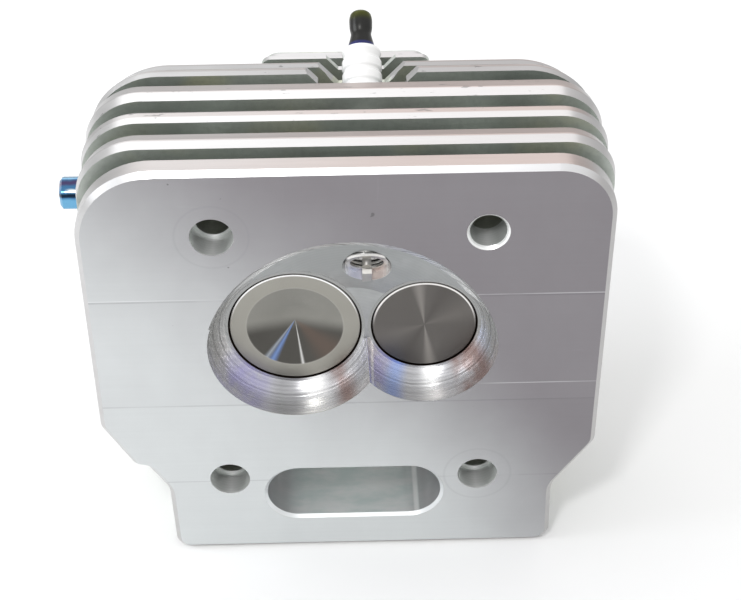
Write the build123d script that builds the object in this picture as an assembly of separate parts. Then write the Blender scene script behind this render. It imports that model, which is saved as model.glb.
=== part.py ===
from build123d import *
import math
import os

# Cylinder head of a single-cylinder, air-cooled overhead-valve engine with an 88 mm bore.
# Millimetres. The origin is the cylinder axis on the gasket face. +X is the exhaust side,
# +Y runs from the gasket face towards the rocker box, +Z is the spark plug side.
# The head stands on its flat pushrod side.

# ---- driving dimensions ----
BORE_R = 43.7                      # rim of the combustion chamber
LEFT_X, RIGHT_X = -76.6, 74.2      # sides of the gasket plate
TOP_Z, BOTTOM_Z = 67.6, -76.6
PLATE_Y = 6.8                      # thickness of the gasket plate
PLATE_CHAMFER = 1.5
BOX_FLOOR_Y, BOX_FACE_Y = 50.0, 85.5

# cooling fins: front, ridge and back of each tip, height of the ridge, corner radii left and right
FINS = [
    (12.3, 16.2, 19.9, 68.3, 19.0, 15.0),
    (26.1, 30.4, 31.9, 68.3, 18.0, 15.0),
    (38.2, 42.4, 46.7, 68.3, 18.0, 16.0),
    (52.2, 54.1, 56.0, 68.3, 22.0, 22.0),
    (62.8, 64.3, 65.8, 64.5, 24.0, 24.0),
]
FIN_LEFT_X, FIN_RIGHT_X = -77.5, 75.6
FIN_RISE = 0.7                     # how far the ridge stands over the edges of a tip

BOLT_X, BOLT_Z = 38.6, 46.2        # head bolts at the corners of a rectangle
BOLT_R = 5.25
DOWEL_R, DOWEL_DEPTH = 6.2, 9.0
BOLT_SEAT_Y = 46.0

VALVE_Z = 5.5
INTAKE_X, EXHAUST_X = -16.8, 21.8
INTAKE_R, EXHAUST_R = 19.45, 15.5  # valve heads
VALVE_FACE_Y = 10.6
ROOF_Y = 10.4
INTAKE_RING_R, EXHAUST_RING_R = 20.9, 16.9
INTAKE_LOBE_R, EXHAUST_LOBE_R = 25.6, 21.2
STEM_R = 3.3
STEM_CLEARANCE = 0.04
VALVE_TIP_Y = 90.0
LASH_CAP = 1.3

PORT_Y, PORT_R = 30.0, 13.5
INTAKE_FLANGE_X, EXHAUST_FLANGE_X = -78.0, 62.0
INTAKE_STUD_SPACING, EXHAUST_STUD_SPACING = 42.0, 46.0
INTAKE_THREAD_R, EXHAUST_THREAD_R = 3.0, 4.0

SLOT_HALF_WIDTH, SLOT_Z, SLOT_R = 27.25, -53.2, 10.0
SLOT_BEVEL = 1.0

PLUG_MOUTH = (4.7, 6.0, 30.3)      # where the plug comes through the chamber roof
PLUG_TILT = 35.5                   # degrees of the plug axis from +Y towards +Z
PLUG_REACH, PLUG_RECESS = 19.0, 1.5
PLUG_THREAD_R, PLUG_WELL_R = 7.0, 13.2
PLUG_NICK_R = 16.7                 # socket clearance, which just cuts the second fin's edge
PLUG_HEIGHT = 60.5                 # seat to the top of the terminal

SPRING_WIRE_R, SPRING_R = 1.6, 11.3
SPRING_SEAT_TOP_Y = 51.6
RETAINER_Y = 82.0
COILS = 5.6

PIVOT_Y, PIVOT_Z = 92.2, -24.0     # rocker fulcrum
BALL_R = 7.0
BALL_CLEARANCE = 0.08
LASH = 0.10
NOSE_R = 6.0
ARM_HALF_WIDTH = 9.0
PUSHROD_Z = -50.0
PILLAR_TOP_Y = 72.0
PLATE_THICKNESS = 2.0

COVER_SCREWS = [(-42.5, 24.0), (45.5, 24.0), (-42.5, -68.0), (42.5, -68.0)]
COVER_THREAD_R, COVER_THREAD_DEPTH, COVER_BOSS_R = 2.55, 14.0, 7.0
BOX_WALL, BOX_RIM = 5.0, 6.5

SHROUD_BOLT = (-78.5, 40.5, 35.1)
SHROUD_BOLT_END_X = -86.4
SHROUD_BOSS_R, SHROUD_SPOT_R = 7.0, 7.3

X, Y, Z = Vector(1, 0, 0), Vector(0, 1, 0), Vector(0, 0, 1)


# ---- helpers ----
def slab(sketch, front, back, taper=0):
    """A sketch in X and Z, extruded from one depth to another."""
    plane = Plane(origin=(0, front, 0), x_dir=X, z_dir=-Y)
    if back < front:
        return extrude(plane * sketch, amount=front - back, taper=taper)
    if taper:
        plane = Plane(origin=(0, front, 0), x_dir=-X, z_dir=Y)
        return extrude(plane * mirror(sketch, about=Plane.YZ), amount=back - front, taper=taper)
    return extrude(plane * sketch, amount=front - back)


def outline(corners):
    """A closed outline in X and Z from (x, z, corner radius)."""
    points = [(x, z) for x, z, _ in corners]
    return make_face(FilletPolyline(*points, radius=[r for _, _, r in corners], close=True))


def rod(start, end, radius):
    """A round bar between two points."""
    along = Vector(end) - Vector(start)
    return extrude(Plane(origin=start, z_dir=along) * Circle(radius), amount=along.length)


def tube(start, end, outer, inner):
    """A round tube between two points."""
    along = Vector(end) - Vector(start)
    ring = Circle(outer) - Circle(inner)
    return extrude(Plane(origin=start, z_dir=along) * ring, amount=along.length)


def turned(profile, origin, direction):
    """A turned solid from (radius, distance along the direction) points."""
    points = [(r, 0, t) for r, t in profile]
    face = make_face(Polyline(*points, close=True))
    return Plane(origin=origin, z_dir=direction) * revolve(face, Axis.Z)


def block(low, high):
    """A box between its lowest and highest corners."""
    size = [b - a for a, b in zip(low, high)]
    centre = [(a + b) / 2 for a, b in zip(low, high)]
    return Pos(*centre) * Box(*size)


def hexagon(start, end, across_flats, turn=0):
    """A hexagonal bar between two points."""
    along = Vector(end) - Vector(start)
    shape = Rot(0, 0, turn) * RegularPolygon(across_flats / 2, 6, major_radius=False)
    return extrude(Plane(origin=start, z_dir=along) * shape, amount=along.length)


def save(name, solid):
    export_step(solid, f"parts/{name}.step")
    nodes[name] = solid


nodes = {}
os.makedirs("parts", exist_ok=True)

plug_axis = Vector(0, math.cos(math.radians(PLUG_TILT)), math.sin(math.radians(PLUG_TILT)))
plug_seat = Vector(*PLUG_MOUTH) + plug_axis * (PLUG_RECESS + PLUG_REACH)


def on_plug(t):
    """A point on the plug's axis, measured from its seat outwards."""
    return plug_seat + plug_axis * t


# ---- head casting ----
def plate_outline():
    return outline([
        (LEFT_X, TOP_Z, 22.5), (RIGHT_X, TOP_Z, 17), (RIGHT_X + 0.4, -34, 6), (62.2, -52.5, 8),
        (62.8, BOTTOM_Z, 5), (-57.2, BOTTOM_Z, 4.5), (-57.8, -50.5, 8), (-63.6, -41.2, 2),
        (-67.6, -40.2, 3), (LEFT_X, -24, 4),
    ])


def fin_outline(top, left_corner, right_corner):
    return outline([
        (FIN_LEFT_X, top, left_corner), (FIN_RIGHT_X, top, right_corner),
        (FIN_RIGHT_X, -32, 8), (56, -50, 6), (-52, -50, 6), (FIN_LEFT_X, -24, 8),
    ])


def gasket_plate():
    plate = slab(plate_outline(), 0, PLATE_Y)
    front = plate.faces().sort_by(Axis.Y)[0]
    return chamfer(front.edges(), PLATE_CHAMFER)


def fin(front, ridge, back, top, left_corner, right_corner):
    face = fin_outline(top, left_corner, right_corner)
    to_front = math.degrees(math.atan(FIN_RISE / (ridge - front)))
    to_back = math.degrees(math.atan(FIN_RISE / (back - ridge)))
    return slab(face, ridge, front, to_front) + slab(face, ridge, back, to_back)


def box_outline(grow=0.0):
    """Inside outline of the rocker box, grown by a wall where asked."""
    inside = outline([
        (-35, 26, 9), (40, 26, 9), (40, -33, 7), (29.3, -38, 4), (29.3, -70, 7),
        (-29.3, -70, 7), (-29.3, -38, 4), (-35, -33, 7),
    ])
    return offset(inside, grow, kind=Kind.ARC) if grow else inside


def rocker_box():
    wall = slab(box_outline(BOX_WALL), 40, BOX_FACE_Y)
    rim = slab(box_outline(BOX_RIM), BOX_FACE_Y - 5, BOX_FACE_Y)
    lug = slab(outline([(-26, 56.5, 5), (26, 56.5, 5), (26, 24, 0), (-26, 24, 0)]), 81.3, BOX_FACE_Y)
    rib = slab(outline([(-26, 61.5, 3), (26, 61.5, 3), (26, 24, 0), (-26, 24, 0)]), 72.2, 74.4)
    solid = wall + rim + lug + rib
    for x in (-17, PLUG_MOUTH[0], 26):
        solid += block((x - 2.5, 40, 26), (x + 2.5, 83, 50))
    for x, z in COVER_SCREWS:
        solid += rod((x, 60 if z > 0 else 40, z), (x, BOX_FACE_Y, z), COVER_BOSS_R)
        if z < 0:
            web = sorted((x, x * 0.7))
            solid += block((web[0], 40, z - 5), (web[1], BOX_FACE_Y, z + 5))
    return solid


def chamber():
    """The milled combustion chamber: two bowls round the valves under a sloping roof."""
    def bowl(x, ring, lobe):
        depth = ROOF_Y
        radius = ((lobe - ring) ** 2 + depth ** 2) / (2 * (lobe - ring))
        middle = math.asin(depth / radius) / 2
        start, end = (lobe, 0, 0), (ring, 0, depth)
        mid = (lobe - radius + radius * math.cos(middle), 0, radius * math.sin(middle))
        wall = ThreePointArc(start, mid, end)
        rest = Polyline(end, (0, 0, depth), (0, 0, -2), (lobe, 0, -2), start)
        cut = revolve(make_face([wall, rest]), Axis.Z)
        return Plane(origin=(x, 0, VALVE_Z), z_dir=Y) * cut

    roof = turned([
        (0, -2), (BORE_R, -2), (BORE_R, 0), (BORE_R - 0.5, 1.2), (BORE_R - 1.5, 2.3),
        (BORE_R - 3.2, 3.3), (20, ROOF_Y), (0, ROOF_Y),
    ], (0, 0, 0), Y)
    far = 80
    a, b = math.atan2(VALVE_Z, EXHAUST_X), math.atan2(VALVE_Z, INTAKE_X)
    wedge = Polygon(
        (0, 0), (far * math.cos(a), far * math.sin(a)), (far, far), (-far, far),
        (far * math.cos(b), far * math.sin(b)), align=None,
    )
    upper = roof & slab(wedge, -3, ROOF_Y + 1)
    intake_bowl = bowl(INTAKE_X, INTAKE_RING_R, INTAKE_LOBE_R)
    exhaust_bowl = bowl(EXHAUST_X, EXHAUST_RING_R, EXHAUST_LOBE_R)
    return intake_bowl + exhaust_bowl + upper


def slot_sketch(grow=0.0):
    return Pos(0, SLOT_Z) * RectangleRounded(
        2 * (SLOT_HALF_WIDTH + grow), 2 * (SLOT_R + grow), SLOT_R + grow - 0.01)


def slot_lip():
    """The bevel round the slot's mouth."""
    wide = Plane(origin=(0, -0.01, 0), x_dir=X, z_dir=-Y) * slot_sketch(SLOT_BEVEL)
    narrow = Plane(origin=(0, SLOT_BEVEL, 0), x_dir=X, z_dir=-Y) * slot_sketch()
    return loft([wide, narrow])


def head_bolt_holes():
    cut = None
    for x in (-BOLT_X, BOLT_X):
        for z in (-BOLT_Z, BOLT_Z):
            hole = rod((x, -1, z), (x, 100, z), BOLT_R) + rod((x, BOLT_SEAT_Y, z), (x, 100, z), 10.0)
            if (x, z) == (BOLT_X, BOLT_Z):
                hole += turned([(0, -1), (BOLT_R + 1.9, -1), (BOLT_R, 0.9), (0, 0.9)], (x, 0, z), Y)
            else:
                hole += rod((x, -1, z), (x, DOWEL_DEPTH, z), DOWEL_R)
            cut = hole if cut is None else cut + hole
    return cut


def port(x, ring, mouth_x):
    """Throat over the valve seat, elbow and the run out to the flange."""
    throat = turned([(0, 16), (ring, 16), (ring, 18), (PORT_R, 22), (PORT_R, PORT_Y), (0, PORT_Y)],
                    (x, 0, VALVE_Z), Y)
    run = rod((x, PORT_Y, VALVE_Z), (mouth_x, PORT_Y, VALVE_Z), PORT_R)
    return throat + Pos(x, PORT_Y, VALVE_Z) * Sphere(PORT_R) + run


def flange_holes(x, depth, spacing, radius):
    cut = None
    for side in (-0.5, 0.5):
        z = VALVE_Z + side * spacing
        hole = rod((x, PORT_Y, z), (x + depth, PORT_Y, z), radius)
        cut = hole if cut is None else cut + hole
    return cut


def flange_block(inner_x, outer_x, spacing):
    """Oval boss that carries a port's joint face."""
    half = spacing / 2 + 9
    face = outline([
        (12, VALVE_Z + half, 7), (48, VALVE_Z + half, 7),
        (48, VALVE_Z - half, 7), (12, VALVE_Z - half, 7),
    ])
    plane = Plane(origin=(inner_x, 0, 0), x_dir=Y, z_dir=X)
    return extrude(plane * face, amount=outer_x - inner_x)


def head_casting():
    core = slab(outline([(-54, 40, 8), (54, 40, 8), (54, -36, 4), (-54, -36, 4)]), 2, 60)
    lower = slab(outline([
        (62.2, -46, 6), (62.6, BOTTOM_Z, 5), (-57.2, BOTTOM_Z, 4.5),
        (-57.6, -42, 6), (-40, -30, 4), (40, -30, 4),
    ]), 2, BOLT_SEAT_Y)
    foot = block((-48, 2, BOTTOM_Z), (48, BOX_FACE_Y, -70))
    head = gasket_plate() + core + lower
    for tip in FINS:
        head += fin(*tip)
    head += rocker_box() + foot
    for x in (-BOLT_X, BOLT_X):
        head += rod((x, 2, BOLT_Z), (x, BOLT_SEAT_Y, BOLT_Z), 12)
    head += rod(on_plug(-9), on_plug(0), 14.5)
    head += block((-7, 2, 30), (16, 47, 56))
    exhaust_space = block((EXHAUST_FLANGE_X, 9.0, -34), (90, 50.5, 45))
    head -= exhaust_space
    head += flange_block(INTAKE_FLANGE_X, -40, INTAKE_STUD_SPACING)
    head += flange_block(40, EXHAUST_FLANGE_X, EXHAUST_STUD_SPACING)
    bolt_y, bolt_z = SHROUD_BOLT[1:]
    head -= rod((FIN_LEFT_X, bolt_y, bolt_z), (INTAKE_FLANGE_X - 1, bolt_y, bolt_z), SHROUD_SPOT_R)
    head += rod((-60, bolt_y, bolt_z), SHROUD_BOLT, SHROUD_BOSS_R)
    head -= slab(box_outline(), BOX_FLOOR_Y, BOX_FACE_Y + 1)
    for x in (INTAKE_X, EXHAUST_X):
        head += rod((x, 45, PIVOT_Z), (x, PILLAR_TOP_Y, PIVOT_Z), 8.5)
        head += block((x - 3, 45, PIVOT_Z - 14), (x + 3, 66, PIVOT_Z))
    head -= chamber()
    head -= slab(slot_sketch(), -1, BOX_FLOOR_Y + 20)
    head -= slot_lip()
    head -= head_bolt_holes()
    for x, ring, radius in ((INTAKE_X, INTAKE_RING_R, 16.4), (EXHAUST_X, EXHAUST_RING_R, 13.4)):
        head -= rod((x, ROOF_Y - 0.1, VALVE_Z), (x, 17.5, VALVE_Z), ring)
        head -= rod((x, 17, VALVE_Z), (x, 20, VALVE_Z), radius)
        head -= rod((x, 20, VALVE_Z), (x, BOX_FLOOR_Y + 1, VALVE_Z), 6.0)
        head -= rod((x, PILLAR_TOP_Y - 12, PIVOT_Z), (x, PILLAR_TOP_Y + 1, PIVOT_Z), 4.0)
    head -= port(INTAKE_X, 16.4, INTAKE_FLANGE_X - 1) + port(EXHAUST_X, PORT_R, EXHAUST_FLANGE_X + 1)
    head -= flange_holes(INTAKE_FLANGE_X - 1, 17, INTAKE_STUD_SPACING, INTAKE_THREAD_R)
    head -= flange_holes(EXHAUST_FLANGE_X + 1, -17, EXHAUST_STUD_SPACING, EXHAUST_THREAD_R)
    for x, z in COVER_SCREWS:
        head -= rod((x, BOX_FACE_Y - COVER_THREAD_DEPTH, z), (x, BOX_FACE_Y + 1, z), COVER_THREAD_R)
    head -= rod((SHROUD_BOLT[0] - 1, bolt_y, bolt_z), (-62, bolt_y, bolt_z), 3.0)
    head -= rod(on_plug(-PLUG_REACH - 6), on_plug(1), PLUG_THREAD_R)
    well = rod(on_plug(0), on_plug(70), PLUG_WELL_R)
    head -= well & block((-20, 0, 0), (30, 47, 62))
    head -= well & block((-20, 47, 0), (30, 120, 140))
    head -= rod(on_plug(10), on_plug(60), 6.6)
    head -= rod(on_plug(0), on_plug(40), PLUG_NICK_R) & block((-20, 29, 60), (30, 38, 75))
    x = PLUG_MOUTH[0]
    trough = Polygon((x - 7, 57.5), (x + 7, 57.5), (x + 18, 69.5), (x - 18, 69.5), align=None)
    head -= slab(trough, 49, 77)
    return head


save("head_casting", head_casting())


# ---- valves, seats, guides and springs ----
MARGIN_Y = VALVE_FACE_Y + 1.2
RING_GAP = 0.45
FACE_GAP = 0.05
RING_BACK_Y = 17.5


def seat_ring(x, valve_r, ring_r):
    throat = valve_r - 3.05
    corner = MARGIN_Y - RING_GAP + FACE_GAP
    return turned([
        (ring_r, ROOF_Y), (ring_r, RING_BACK_Y), (throat, RING_BACK_Y),
        (throat, corner + valve_r + RING_GAP - throat), (valve_r + RING_GAP, corner),
        (valve_r + RING_GAP, ROOF_Y),
    ], (x, 0, VALVE_Z), Y)


def valve(x, radius, tip_y, dish_r, dish_depth):
    """Head, tulip, stem and keeper groove, as one turning."""
    cone = radius - 2.6
    face = [(0, VALVE_FACE_Y + dish_depth), (dish_r, VALVE_FACE_Y)] if dish_r else [(0, VALVE_FACE_Y)]
    return turned(face + [
        (radius - 0.3, VALVE_FACE_Y), (radius, VALVE_FACE_Y + 0.3), (radius, MARGIN_Y),
        (cone, MARGIN_Y + 2.6), (cone * 0.66, MARGIN_Y + 4.4), (cone * 0.44, MARGIN_Y + 7.2),
        (5.2, MARGIN_Y + 11), (3.9, MARGIN_Y + 16),
        (STEM_R, MARGIN_Y + 22), (STEM_R, 82.2), (2.7, 82.6), (2.7, 83.6), (STEM_R, 84.0),
        (STEM_R, tip_y - 0.5), (STEM_R - 0.5, tip_y), (0, tip_y),
    ], (x, 0, VALVE_Z), Y)


def keepers(x):
    """The two halves of the split collet."""
    ring = turned([
        (5.2, RETAINER_Y - 2.2), (6.3, RETAINER_Y + 4.0), (3.35, RETAINER_Y + 4.0), (3.35, 84.0),
        (2.75, 83.6), (2.75, 82.6), (3.35, 82.2), (3.35, RETAINER_Y - 2.2),
    ], (x, 0, VALVE_Z), Y)
    return ring - block((x - 0.5, 70, VALVE_Z - 9), (x + 0.5, 95, VALVE_Z + 9))


def retainer(x):
    return turned([
        (5.25, RETAINER_Y - 2.2), (6.34, RETAINER_Y + 4.0), (8.2, RETAINER_Y + 4.0),
        (8.8, RETAINER_Y + 2.3),
        (12.2, RETAINER_Y + 2.3), (12.7, RETAINER_Y + 1.8), (12.7, RETAINER_Y), (8.9, RETAINER_Y),
        (8.4, RETAINER_Y - 2.2),
    ], (x, 0, VALVE_Z), Y)


def spring(x):
    """A coil spring at its fitted length, between its seat and the retainer."""
    length = RETAINER_Y - SPRING_SEAT_TOP_Y - 2 * SPRING_WIRE_R - 0.1
    path = Helix(pitch=length / COILS, height=length, radius=SPRING_R)
    wire = sweep(Plane(origin=path @ 0, z_dir=path % 0) * Circle(SPRING_WIRE_R), path=path)
    return Plane(origin=(x, SPRING_SEAT_TOP_Y + SPRING_WIRE_R + 0.05, VALVE_Z), z_dir=Y) * wire


def on_valve(x, y):
    return (x, y, VALVE_Z)


VALVES = [
    ("intake", INTAKE_X, INTAKE_R, INTAKE_RING_R),
    ("exhaust", EXHAUST_X, EXHAUST_R, EXHAUST_RING_R),
]
for name, x, radius, ring in VALVES:
    tip_y = VALVE_TIP_Y - (LASH_CAP if name == "exhaust" else 0)
    dish = (14.45, 3.6) if name == "intake" else (0, 0)
    save(f"{name}_valve_seat", seat_ring(x, radius, ring))
    save(f"{name}_valve", valve(x, radius, tip_y, *dish))
    guide = tube(on_valve(x, 38.5), on_valve(x, 57), 6.0, STEM_R + STEM_CLEARANCE)
    save(f"{name}_valve_guide", guide)
    save(f"{name}_spring_seat", tube(on_valve(x, BOX_FLOOR_Y), on_valve(x, SPRING_SEAT_TOP_Y), 13.9, 6.1))
    save(f"{name}_spring", spring(x))
    save(f"{name}_retainer", retainer(x))
    save(f"{name}_keepers", keepers(x))

save("intake_stem_seal", turned([
    (6.0, 52.2), (7.8, 52.2), (7.8, 58.6), (5.6, 60.4), (STEM_R + 0.1, 60.4), (STEM_R + 0.1, 57), (6.0, 57),
], on_valve(INTAKE_X, 0), Y))
save("exhaust_lash_cap", turned([
    (0, VALVE_TIP_Y), (4.3, VALVE_TIP_Y), (4.8, VALVE_TIP_Y - 0.5), (4.8, VALVE_TIP_Y - 3.4),
    (STEM_R + 0.05, VALVE_TIP_Y - 3.4), (STEM_R + 0.05, VALVE_TIP_Y - LASH_CAP),
    (0, VALVE_TIP_Y - LASH_CAP),
], on_valve(EXHAUST_X, 0), Y))


# ---- rocker gear ----
NOSE_Y = VALVE_TIP_Y + LASH + NOSE_R
ARM_UNDER_Y = PIVOT_Y - BALL_R - BALL_CLEARANCE - 2.0
TAIL_HALF_WIDTH = 6.0
CUP_Y = PIVOT_Y - 7.0
STUD_R = 4.0


def rocker_arm(x):
    """A boat-shaped arm: nose over the valve, spherical cup for the pivot, socket for the pushrod."""
    yz = Plane(origin=(x, 0, 0), x_dir=Y, z_dir=X)
    body = make_face(FilletPolyline(
        (NOSE_Y + 5, 3), (NOSE_Y - 4.6, 1.5), (PIVOT_Y - 1.3, -8),
        (ARM_UNDER_Y, -15.4), (ARM_UNDER_Y, -32.6),
        (CUP_Y, -37), (CUP_Y, -55.5), (PIVOT_Y + 2.8, -55.5), (PIVOT_Y + 2.8, -40), (PIVOT_Y + 0.8, -34),
        (PIVOT_Y + 0.8, -14), (PIVOT_Y + 6.8, -7),
        radius=[1, 1, 2.5, 4, 4, 2.5, 2.5, 4, 4, 2, 2, 4], close=True))
    arm = extrude(yz * body, amount=ARM_HALF_WIDTH, both=True)
    arm += rod((x - ARM_HALF_WIDTH, NOSE_Y, VALVE_Z), (x + ARM_HALF_WIDTH, NOSE_Y, VALVE_Z), NOSE_R)
    w, n = ARM_HALF_WIDTH, TAIL_HALF_WIDTH
    plan = outline([
        (x - n, 13, 2), (x + n, 13, 2), (x + n, -7, 4), (x + w, -14, 4), (x + w, -34, 4), (x + n, -41, 4),
        (x + n, -57, 3), (x - n, -57, 3), (x - n, -41, 4), (x - w, -34, 4), (x - w, -14, 4), (x - n, -7, 4),
    ])
    arm &= slab(plan, 75, 110)
    centre = (x, PIVOT_Y, PIVOT_Z)
    arm -= Pos(*centre) * Sphere(BALL_R + BALL_CLEARANCE)
    arm -= rod(centre, (x, 110, PIVOT_Z), BALL_R + 0.9)
    across = Plane(origin=(x, 70, PIVOT_Z), x_dir=X, z_dir=Y)
    arm -= extrude(across * Rot(0, 0, 90) * SlotOverall(13.8, 2 * STUD_R + 0.8), amount=20)
    return arm - Pos(x, CUP_Y, PUSHROD_Z) * Sphere(3.6)


def lock_nut(x):
    nut = hexagon((x, PIVOT_Y + 1, PIVOT_Z), (x, PIVOT_Y + 7.5, PIVOT_Z), 11.4)
    return nut - rod((x, 80, PIVOT_Z), (x, 110, PIVOT_Z), STUD_R + 0.02)


def pivot(x):
    ball = Pos(x, PIVOT_Y, PIVOT_Z) * Sphere(BALL_R)
    ball &= block((x - 9, 70, PIVOT_Z - 9), (x + 9, PIVOT_Y + 1, PIVOT_Z + 9))
    return ball - rod((x, 70, PIVOT_Z), (x, 100, PIVOT_Z), STUD_R + 0.05)


def rocker_stud(x):
    low, top = PILLAR_TOP_Y - 12, PIVOT_Y + 11
    stud = turned([(0, low), (3.98, low), (3.98, top - 0.8), (3.2, top), (0, top)], (x, 0, PIVOT_Z), Y)
    hex_y = PILLAR_TOP_Y + PLATE_THICKNESS
    return stud + hexagon((x, hex_y, PIVOT_Z), (x, hex_y + 3.4, PIVOT_Z), 11)


def guide_plate():
    plate = outline([(-26, -16, 4), (31, -16, 4), (31, -33, 4), (-26, -33, 4)])
    for x in (INTAKE_X, EXHAUST_X):
        plate += outline([(x - 7, -30, 0), (x + 7, -30, 0), (x + 7, -57, 2), (x - 7, -57, 2)])
        plate -= Pos(x, PIVOT_Z) * Circle(STUD_R + 0.2)
        plate -= outline([(x - 4.3, -41, 3), (x + 4.3, -41, 3), (x + 4.3, -59, 0), (x - 4.3, -59, 0)])
    return slab(plate, PILLAR_TOP_Y, PILLAR_TOP_Y + PLATE_THICKNESS)


for name, x in (("intake", INTAKE_X), ("exhaust", EXHAUST_X)):
    save(f"{name}_rocker_arm", rocker_arm(x))
    save(f"{name}_rocker_pivot", pivot(x))
    save(f"{name}_lock_nut", lock_nut(x))
    save(f"{name}_rocker_stud", rocker_stud(x))
save("pushrod_guide_plate", guide_plate())


# ---- fasteners on the outside ----
def shroud_bolt():
    x, y, z = SHROUD_BOLT
    bolt = rod((x + 13, y, z), (x, y, z), 2.95) + rod((x, y, z), (x - 1.6, y, z), 6.4)
    height = x - 1.6 - SHROUD_BOLT_END_X
    hex_head = hexagon((x - 1.6, y, z), (SHROUD_BOLT_END_X, y, z), 10, 15)
    rounding = [(0, 0), (6.2, 0), (6.2, height - 1.4), (4.2, height), (0, height)]
    return bolt + (hex_head & turned(rounding, (x - 1.6, y, z), -X))


def exhaust_studs():
    """Each stud is screwed into the casting by its thread's core, and stands out at full size."""
    profile = [(0, 0), (3.5, 0), (3.5, 15.1), (4.0, 15.1), (4.0, 31.2), (3.2, 32), (0, 32)]
    low, high = (VALVE_Z + side * EXHAUST_STUD_SPACING for side in (-0.5, 0.5))
    return turned(profile, (47, PORT_Y, low), X) + turned(profile, (47, PORT_Y, high), X)


save("shroud_bolt", shroud_bolt())
save("exhaust_studs", exhaust_studs())

# ---- spark plug ----
INSULATOR_R = 5.95
RIBS, RIB_START, RIB_STEP = 5, 24.4, 4.2
TERMINAL_BASE = PLUG_HEIGHT - 12.3


def on_axis(profile):
    return turned(profile, plug_seat, plug_axis)


def plug_shell():
    thread_r = PLUG_THREAD_R - 0.02
    shell = on_axis([
        (thread_r, 0), (thread_r, -PLUG_REACH + 0.8), (6.3, -PLUG_REACH), (4.9, -PLUG_REACH),
        (4.9, -4), (6.3, -2), (6.3, 15.2), (7.2, 15.2), (8.6, 13.8), (8.6, 4.4),
        (10.0, 4.4), (10.0, 2.0), (7.0, 2.0),
    ])
    hex_part = hexagon(on_plug(4.4), on_plug(13.2), 20.8) - rod(on_plug(4), on_plug(14), 8.5)
    return shell + hex_part


def plug_insulator():
    ribs = []
    groove_r = INSULATOR_R - 0.55
    for n in range(RIBS):
        low = RIB_START + n * RIB_STEP
        ribs += [(INSULATOR_R, low), (INSULATOR_R, low + 2.6), (groove_r, low + 3.1), (groove_r, low + 3.7)]
    return on_axis([
        (1.3, -PLUG_REACH + 1.6), (2.6, -PLUG_REACH + 1.6), (4.2, -5), (4.2, -4.2), (6.2, -1.8),
        (6.2, 14.0), (INSULATOR_R, 16.5), *ribs, (INSULATOR_R, TERMINAL_BASE - 1.5),
        (5.3, TERMINAL_BASE - 0.4), (4.5, TERMINAL_BASE), (1.3, TERMINAL_BASE),
    ])


def plug_ground_electrode():
    """Strap welded to the end of the shell and bent over the centre electrode."""
    across = X.cross(plug_axis)
    frame = Plane(origin=on_plug(-PLUG_REACH), x_dir=across, z_dir=plug_axis)
    strap = Pos(-5.6, 0, -1.8) * Box(1.3, 2.7, 3.6) + Pos(-2.6, 0, -2.95) * Box(7.3, 2.7, 1.3)
    return frame * strap


save("plug_shell", plug_shell())
save("plug_insulator", plug_insulator())
save("plug_terminal", on_axis([
    (0, TERMINAL_BASE), (4.1, TERMINAL_BASE), (3.9, TERMINAL_BASE + 1.2), (3.3, TERMINAL_BASE + 3.4),
    (3.0, TERMINAL_BASE + 4.8), (3.4, TERMINAL_BASE + 6.6), (3.5, TERMINAL_BASE + 9.6),
    (3.1, PLUG_HEIGHT - 1.0), (2.2, PLUG_HEIGHT - 0.2), (1.2, PLUG_HEIGHT), (0, PLUG_HEIGHT),
]))
save("plug_centre_electrode", rod(on_plug(-PLUG_REACH - 1.0), on_plug(TERMINAL_BASE), 1.28))
save("plug_ground_electrode", plug_ground_electrode())
save("plug_gasket", tube(on_plug(0), on_plug(2.0), 10.0, 7.2))
print(len(nodes), "nodes")
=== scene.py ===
# %% [markdown]
# # A cylinder head in cells
# The object is the head of a small air-cooled engine, taken off and stood on its flat side, so
# that the machined gasket face looks forward. The shapes that matter to the engine come from a
# CAD model, which is loaded as a fixed frame. Blender then gives each surface its finish, and
# builds finer meshes for the parts that the CAD model only draws plainly.

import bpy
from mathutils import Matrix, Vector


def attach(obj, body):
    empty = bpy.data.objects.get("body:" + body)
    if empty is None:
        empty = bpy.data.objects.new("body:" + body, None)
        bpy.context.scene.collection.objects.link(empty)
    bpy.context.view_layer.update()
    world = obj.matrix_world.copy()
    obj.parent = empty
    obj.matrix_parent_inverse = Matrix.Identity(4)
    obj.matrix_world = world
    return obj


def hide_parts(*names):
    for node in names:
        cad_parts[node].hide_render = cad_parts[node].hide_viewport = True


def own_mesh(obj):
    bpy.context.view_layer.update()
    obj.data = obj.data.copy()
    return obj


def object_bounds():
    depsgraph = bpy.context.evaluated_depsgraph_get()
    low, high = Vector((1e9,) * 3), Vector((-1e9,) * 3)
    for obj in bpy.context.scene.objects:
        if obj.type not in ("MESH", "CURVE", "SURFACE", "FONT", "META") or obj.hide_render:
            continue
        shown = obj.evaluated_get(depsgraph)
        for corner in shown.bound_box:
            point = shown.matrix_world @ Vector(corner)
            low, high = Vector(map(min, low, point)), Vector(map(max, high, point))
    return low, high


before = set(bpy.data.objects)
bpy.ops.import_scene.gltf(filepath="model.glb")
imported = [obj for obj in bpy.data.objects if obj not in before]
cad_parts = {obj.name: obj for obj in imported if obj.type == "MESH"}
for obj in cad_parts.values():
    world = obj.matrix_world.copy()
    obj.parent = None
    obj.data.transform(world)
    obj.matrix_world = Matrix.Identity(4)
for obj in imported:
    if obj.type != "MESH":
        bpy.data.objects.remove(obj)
cad_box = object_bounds()

# %% Tools and units
import math

import bmesh
import bpy
from mathutils import Matrix, Vector

MM = 0.001
scene = bpy.context.scene


def mm(*values):
    """A point in metres from millimetres."""
    return Vector(values) * MM


print("box, mm:", [[round(c / MM, 1) for c in corner] for corner in cad_box])

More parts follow.
